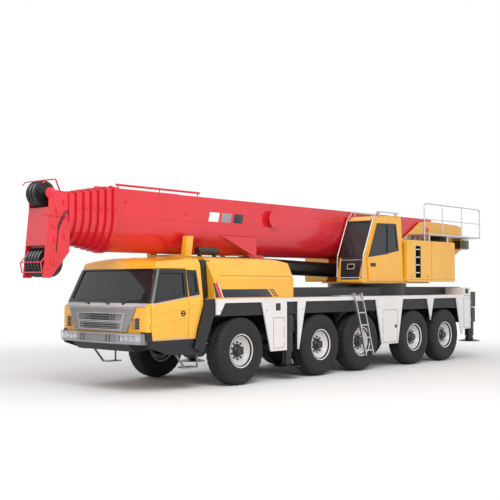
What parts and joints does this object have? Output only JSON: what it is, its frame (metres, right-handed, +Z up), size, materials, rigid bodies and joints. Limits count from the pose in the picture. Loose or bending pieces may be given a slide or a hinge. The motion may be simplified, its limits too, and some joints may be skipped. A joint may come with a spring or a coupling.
{
  "type": "five-axle all-terrain mobile crane",
  "caption": "Truck-mounted telescopic crane on a multi-axle carrier, with steered wheels, outriggers, a slewing superstructure and a luffing, extending boom.",
  "frame": {"origin": "on the ground under the middle of the overall length, on the centre line", "axes": "+X forward, +Y to the left, +Z up"},
  "size_m": [15.4498, 3.81, 4.4678],
  "materials": {
    "yellow_paint": "semi-gloss enamel",
    "red_paint": "gloss enamel",
    "white_paint": "semi-gloss enamel",
    "chassis_grey": "satin chassis paint",
    "mudguard_black": "matt moulded plastic",
    "black_paint": "satin enamel",
    "silver_grey": "silver-grey lacquer",
    "galvanised": "dull zinc",
    "chrome_rod": "hard chrome, polished",
    "engine_grey": "cast, painted",
    "trim_plastic": "grained plastic",
    "tyre_rubber": "matt rubber",
    "glass": "tinted safety glass"
  },
  "bodies": {
    "carrier": {"chassis_frame": "chassis_grey", "carrier_deck": "white_paint", "mudguards": "mudguard_black", "axles": "chassis_grey", "cab_shell": "yellow_paint", "cab_glass": "glass", "cab_front": "silver_grey", "cab_interior": "trim_plastic", "engine_hood": "yellow_paint", "engine_block": "engine_grey", "intake_and_silencer": "black_paint", "ladders": "galvanised"},
    "superstructure": {"turntable": "yellow_paint", "machinery_house": "yellow_paint", "platform_railing": "galvanised", "upper_cab_shell": "yellow_paint", "upper_cab_glass": "glass", "upper_cab_seat": "trim_plastic"},
    "winch_drum": {"winch_drum": "black_paint"},
    "upper_cab_door": {"upper_cab_door": "yellow_paint"},
    "boom_base": {"boom_base": "red_paint"},
    "lift_cylinder": {"lift_cylinder": "black_paint"},
    "lift_rod": {"lift_rod": "chrome_rod"},
    "wheel_1_left": {"wheel_1_left": "tyre_rubber"},
    "knuckle_1_left": {"knuckle_1_left": "chassis_grey"},
    "wheel_1_right": {"wheel_1_right": "tyre_rubber"},
    "knuckle_1_right": {"knuckle_1_right": "chassis_grey"},
    "wheel_2_left": {"wheel_2_left": "tyre_rubber"},
    "knuckle_2_left": {"knuckle_2_left": "chassis_grey"},
    "wheel_2_right": {"wheel_2_right": "tyre_rubber"},
    "knuckle_2_right": {"knuckle_2_right": "chassis_grey"},
    "wheel_3_left": {"wheel_3_left": "tyre_rubber"},
    "wheel_3_right": {"wheel_3_right": "tyre_rubber"},
    "wheel_4_left": {"wheel_4_left": "tyre_rubber"},
    "knuckle_4_left": {"knuckle_4_left": "chassis_grey"},
    "wheel_4_right": {"wheel_4_right": "tyre_rubber"},
    "knuckle_4_right": {"knuckle_4_right": "chassis_grey"},
    "wheel_5_left": {"wheel_5_left": "tyre_rubber"},
    "knuckle_5_left": {"knuckle_5_left": "chassis_grey"},
    "wheel_5_right": {"wheel_5_right": "tyre_rubber"},
    "knuckle_5_right": {"knuckle_5_right": "chassis_grey"},
    "outrigger_beam_front_left": {"outrigger_beam_front_left": "white_paint"},
    "outrigger_jack_front_left": {"outrigger_jack_front_left": "black_paint"},
    "outrigger_beam_front_right": {"outrigger_beam_front_right": "white_paint"},
    "outrigger_jack_front_right": {"outrigger_jack_front_right": "black_paint"},
    "outrigger_beam_rear_left": {"outrigger_beam_rear_left": "white_paint"},
    "outrigger_jack_rear_left": {"outrigger_jack_rear_left": "black_paint"},
    "outrigger_beam_rear_right": {"outrigger_beam_rear_right": "white_paint"},
    "outrigger_jack_rear_right": {"outrigger_jack_rear_right": "black_paint"},
    "cab_door_left": {"cab_door_left": "yellow_paint", "cab_door_glass_left": "glass"},
    "cab_door_right": {"cab_door_right": "yellow_paint", "cab_door_glass_right": "glass"},
    "boom_section_2": {"boom_section_2": "red_paint"},
    "boom_section_3": {"boom_section_3": "red_paint"},
    "boom_section_4": {"boom_section_4": "red_paint"},
    "boom_section_5": {"boom_section_5": "red_paint"},
    "boom_section_6": {"boom_section_6": "red_paint"},
    "boom_section_7": {"boom_section_7": "red_paint", "boom_sheaves": "black_paint"}
  },
  "joints": [
    {"name": "steer_front_left", "type": "hinge", "parent": "carrier", "child": "knuckle_1_left", "pos_m": [3.325, 1, 0.74], "axis": [0, 0, 1], "range_deg": [-32, 32]},
    {"name": "spin_1_left", "type": "hinge", "parent": "knuckle_1_left", "child": "wheel_1_left", "pos_m": [3.325, 1.2775, 0.74], "axis": [0, 1, 0], "continuous": true},
    {"name": "steer_1_right", "type": "hinge", "parent": "carrier", "child": "knuckle_1_right", "pos_m": [3.325, -1, 0.74], "axis": [0, 0, 1], "range_deg": [-32, 32]},
    {"name": "spin_1_right", "type": "hinge", "parent": "knuckle_1_right", "child": "wheel_1_right", "pos_m": [3.325, -1.2775, 0.74], "axis": [0, 1, 0], "continuous": true},
    {"name": "steer_2_left", "type": "hinge", "parent": "carrier", "child": "knuckle_2_left", "pos_m": [0.535, 1, 0.74], "axis": [0, 0, 1], "range_deg": [-24, 24]},
    {"name": "spin_2_left", "type": "hinge", "parent": "knuckle_2_left", "child": "wheel_2_left", "pos_m": [0.535, 1.2775, 0.74], "axis": [0, 1, 0], "continuous": true},
    {"name": "steer_2_right", "type": "hinge", "parent": "carrier", "child": "knuckle_2_right", "pos_m": [0.535, -1, 0.74], "axis": [0, 0, 1], "range_deg": [-24, 24]},
    {"name": "spin_2_right", "type": "hinge", "parent": "knuckle_2_right", "child": "wheel_2_right", "pos_m": [0.535, -1.2775, 0.74], "axis": [0, 1, 0], "continuous": true},
    {"name": "spin_3_left", "type": "hinge", "parent": "carrier", "child": "wheel_3_left", "pos_m": [-1.135, 1.2775, 0.74], "axis": [0, 1, 0], "continuous": true},
    {"name": "spin_3_right", "type": "hinge", "parent": "carrier", "child": "wheel_3_right", "pos_m": [-1.135, -1.2775, 0.74], "axis": [0, 1, 0], "continuous": true},
    {"name": "steer_4_left", "type": "hinge", "parent": "carrier", "child": "knuckle_4_left", "pos_m": [-3.595, 1, 0.74], "axis": [0, 0, 1], "range_deg": [-12, 12]},
    {"name": "spin_4_left", "type": "hinge", "parent": "knuckle_4_left", "child": "wheel_4_left", "pos_m": [-3.595, 1.2775, 0.74], "axis": [0, 1, 0], "continuous": true},
    {"name": "steer_4_right", "type": "hinge", "parent": "carrier", "child": "knuckle_4_right", "pos_m": [-3.595, -1, 0.74], "axis": [0, 0, 1], "range_deg": [-12, 12]},
    {"name": "spin_4_right", "type": "hinge", "parent": "knuckle_4_right", "child": "wheel_4_right", "pos_m": [-3.595, -1.2775, 0.74], "axis": [0, 1, 0], "continuous": true},
    {"name": "steer_rear_left", "type": "hinge", "parent": "carrier", "child": "knuckle_5_left", "pos_m": [-5.225, 1, 0.74], "axis": [0, 0, 1], "range_deg": [-20, 20]},
    {"name": "spin_5_left", "type": "hinge", "parent": "knuckle_5_left", "child": "wheel_5_left", "pos_m": [-5.225, 1.2775, 0.74], "axis": [0, 1, 0], "continuous": true},
    {"name": "steer_5_right", "type": "hinge", "parent": "carrier", "child": "knuckle_5_right", "pos_m": [-5.225, -1, 0.74], "axis": [0, 0, 1], "range_deg": [-20, 20]},
    {"name": "spin_5_right", "type": "hinge", "parent": "knuckle_5_right", "child": "wheel_5_right", "pos_m": [-5.225, -1.2775, 0.74], "axis": [0, 1, 0], "continuous": true},
    {"name": "outrigger_front_left_out", "type": "slide", "parent": "carrier", "child": "outrigger_beam_front_left", "axis": [0, 1, 0], "range_m": [0, 2.2]},
    {"name": "jack_front_left_down", "type": "slide", "parent": "outrigger_beam_front_left", "child": "outrigger_jack_front_left", "axis": [0, 0, -1], "range_m": [0, 0.55]},
    {"name": "outrigger_front_right_out", "type": "slide", "parent": "carrier", "child": "outrigger_beam_front_right", "axis": [0, -1, 0], "range_m": [0, 2.2]},
    {"name": "jack_front_right_down", "type": "slide", "parent": "outrigger_beam_front_right", "child": "outrigger_jack_front_right", "axis": [0, 0, -1], "range_m": [0, 0.55]},
    {"name": "outrigger_rear_left_out", "type": "slide", "parent": "carrier", "child": "outrigger_beam_rear_left", "axis": [0, 1, 0], "range_m": [0, 2.2]},
    {"name": "jack_rear_left_down", "type": "slide", "parent": "outrigger_beam_rear_left", "child": "outrigger_jack_rear_left", "axis": [0, 0, -1], "range_m": [0, 0.55]},
    {"name": "outrigger_rear_right_out", "type": "slide", "parent": "carrier", "child": "outrigger_beam_rear_right", "axis": [0, -1, 0], "range_m": [0, 2.2]},
    {"name": "jack_rear_right_down", "type": "slide", "parent": "outrigger_beam_rear_right", "child": "outrigger_jack_rear_right", "axis": [0, 0, -1], "range_m": [0, 0.55]},
    {"name": "cab_door_left_open", "type": "hinge", "parent": "carrier", "child": "cab_door_left", "pos_m": [5.841, 1.3935, 1.5], "axis": [0, 0, -1], "range_deg": [0, 70]},
    {"name": "cab_door_right_open", "type": "hinge", "parent": "carrier", "child": "cab_door_right", "pos_m": [5.841, -1.3935, 1.5], "axis": [0, 0, 1], "range_deg": [0, 70]},
    {"name": "upper_cab_door_open", "type": "slide", "parent": "superstructure", "child": "upper_cab_door", "axis": [-1, 0, 0], "range_m": [0, 0.75]},
    {"name": "slew", "type": "hinge", "parent": "carrier", "child": "superstructure", "pos_m": [-3.475, 0, 2.2], "axis": [0, 0, 1], "continuous": true},
    {"name": "winch_turn", "type": "hinge", "parent": "superstructure", "child": "winch_drum", "pos_m": [-6.98, 0, 3.08], "axis": [0, 1, 0], "continuous": true},
    {"name": "luff", "type": "hinge", "parent": "superstructure", "child": "boom_base", "pos_m": [-5.715, 0, 3.78], "axis": [0, -1, 0], "range_deg": [0, 80]},
    {"name": "lift_cylinder_swing", "type": "hinge", "parent": "superstructure", "child": "lift_cylinder", "pos_m": [-3.075, 0, 2.52], "axis": [0, -1, 0], "range_deg": [0, 90.69]},
    {"name": "lift_rod_out", "type": "slide", "parent": "lift_cylinder", "child": "lift_rod", "axis": [0.9997, 0, 0.0264], "range_m": [0, 3.6011]},
    {"name": "telescope_2", "type": "slide", "parent": "boom_base", "child": "boom_section_2", "axis": [1, 0, 0], "range_m": [0, 9.3]},
    {"name": "telescope_3", "type": "slide", "parent": "boom_section_2", "child": "boom_section_3", "axis": [1, 0, 0], "range_m": [0, 9.3]},
    {"name": "telescope_4", "type": "slide", "parent": "boom_section_3", "child": "boom_section_4", "axis": [1, 0, 0], "range_m": [0, 9.3]},
    {"name": "telescope_5", "type": "slide", "parent": "boom_section_4", "child": "boom_section_5", "axis": [1, 0, 0], "range_m": [0, 9.3]},
    {"name": "telescope_6", "type": "slide", "parent": "boom_section_5", "child": "boom_section_6", "axis": [1, 0, 0], "range_m": [0, 9.3]},
    {"name": "telescope_7", "type": "slide", "parent": "boom_section_6", "child": "boom_section_7", "axis": [1, 0, 0], "range_m": [0, 9.3]}
  ],
  "couplings": [
    {"joint": "steer_1_right", "follows": "steer_front_left", "ratio": 1},
    {"joint": "steer_2_left", "follows": "steer_front_left", "ratio": 0.75},
    {"joint": "steer_2_right", "follows": "steer_front_left", "ratio": 0.75},
    {"joint": "steer_4_left", "follows": "steer_rear_left", "ratio": 0.6},
    {"joint": "steer_4_right", "follows": "steer_rear_left", "ratio": 0.6},
    {"joint": "steer_5_right", "follows": "steer_rear_left", "ratio": 1},
    {"joint": "lift_cylinder_swing", "follows": "luff", "ratio": 1.133},
    {"joint": "lift_rod_out", "follows": "luff", "m_per_rad": 2.5776},
    {"joint": "telescope_3", "follows": "telescope_2", "ratio": 1},
    {"joint": "telescope_4", "follows": "telescope_2", "ratio": 1},
    {"joint": "telescope_5", "follows": "telescope_2", "ratio": 1},
    {"joint": "telescope_6", "follows": "telescope_2", "ratio": 1},
    {"joint": "telescope_7", "follows": "telescope_2", "ratio": 1}
  ]
}
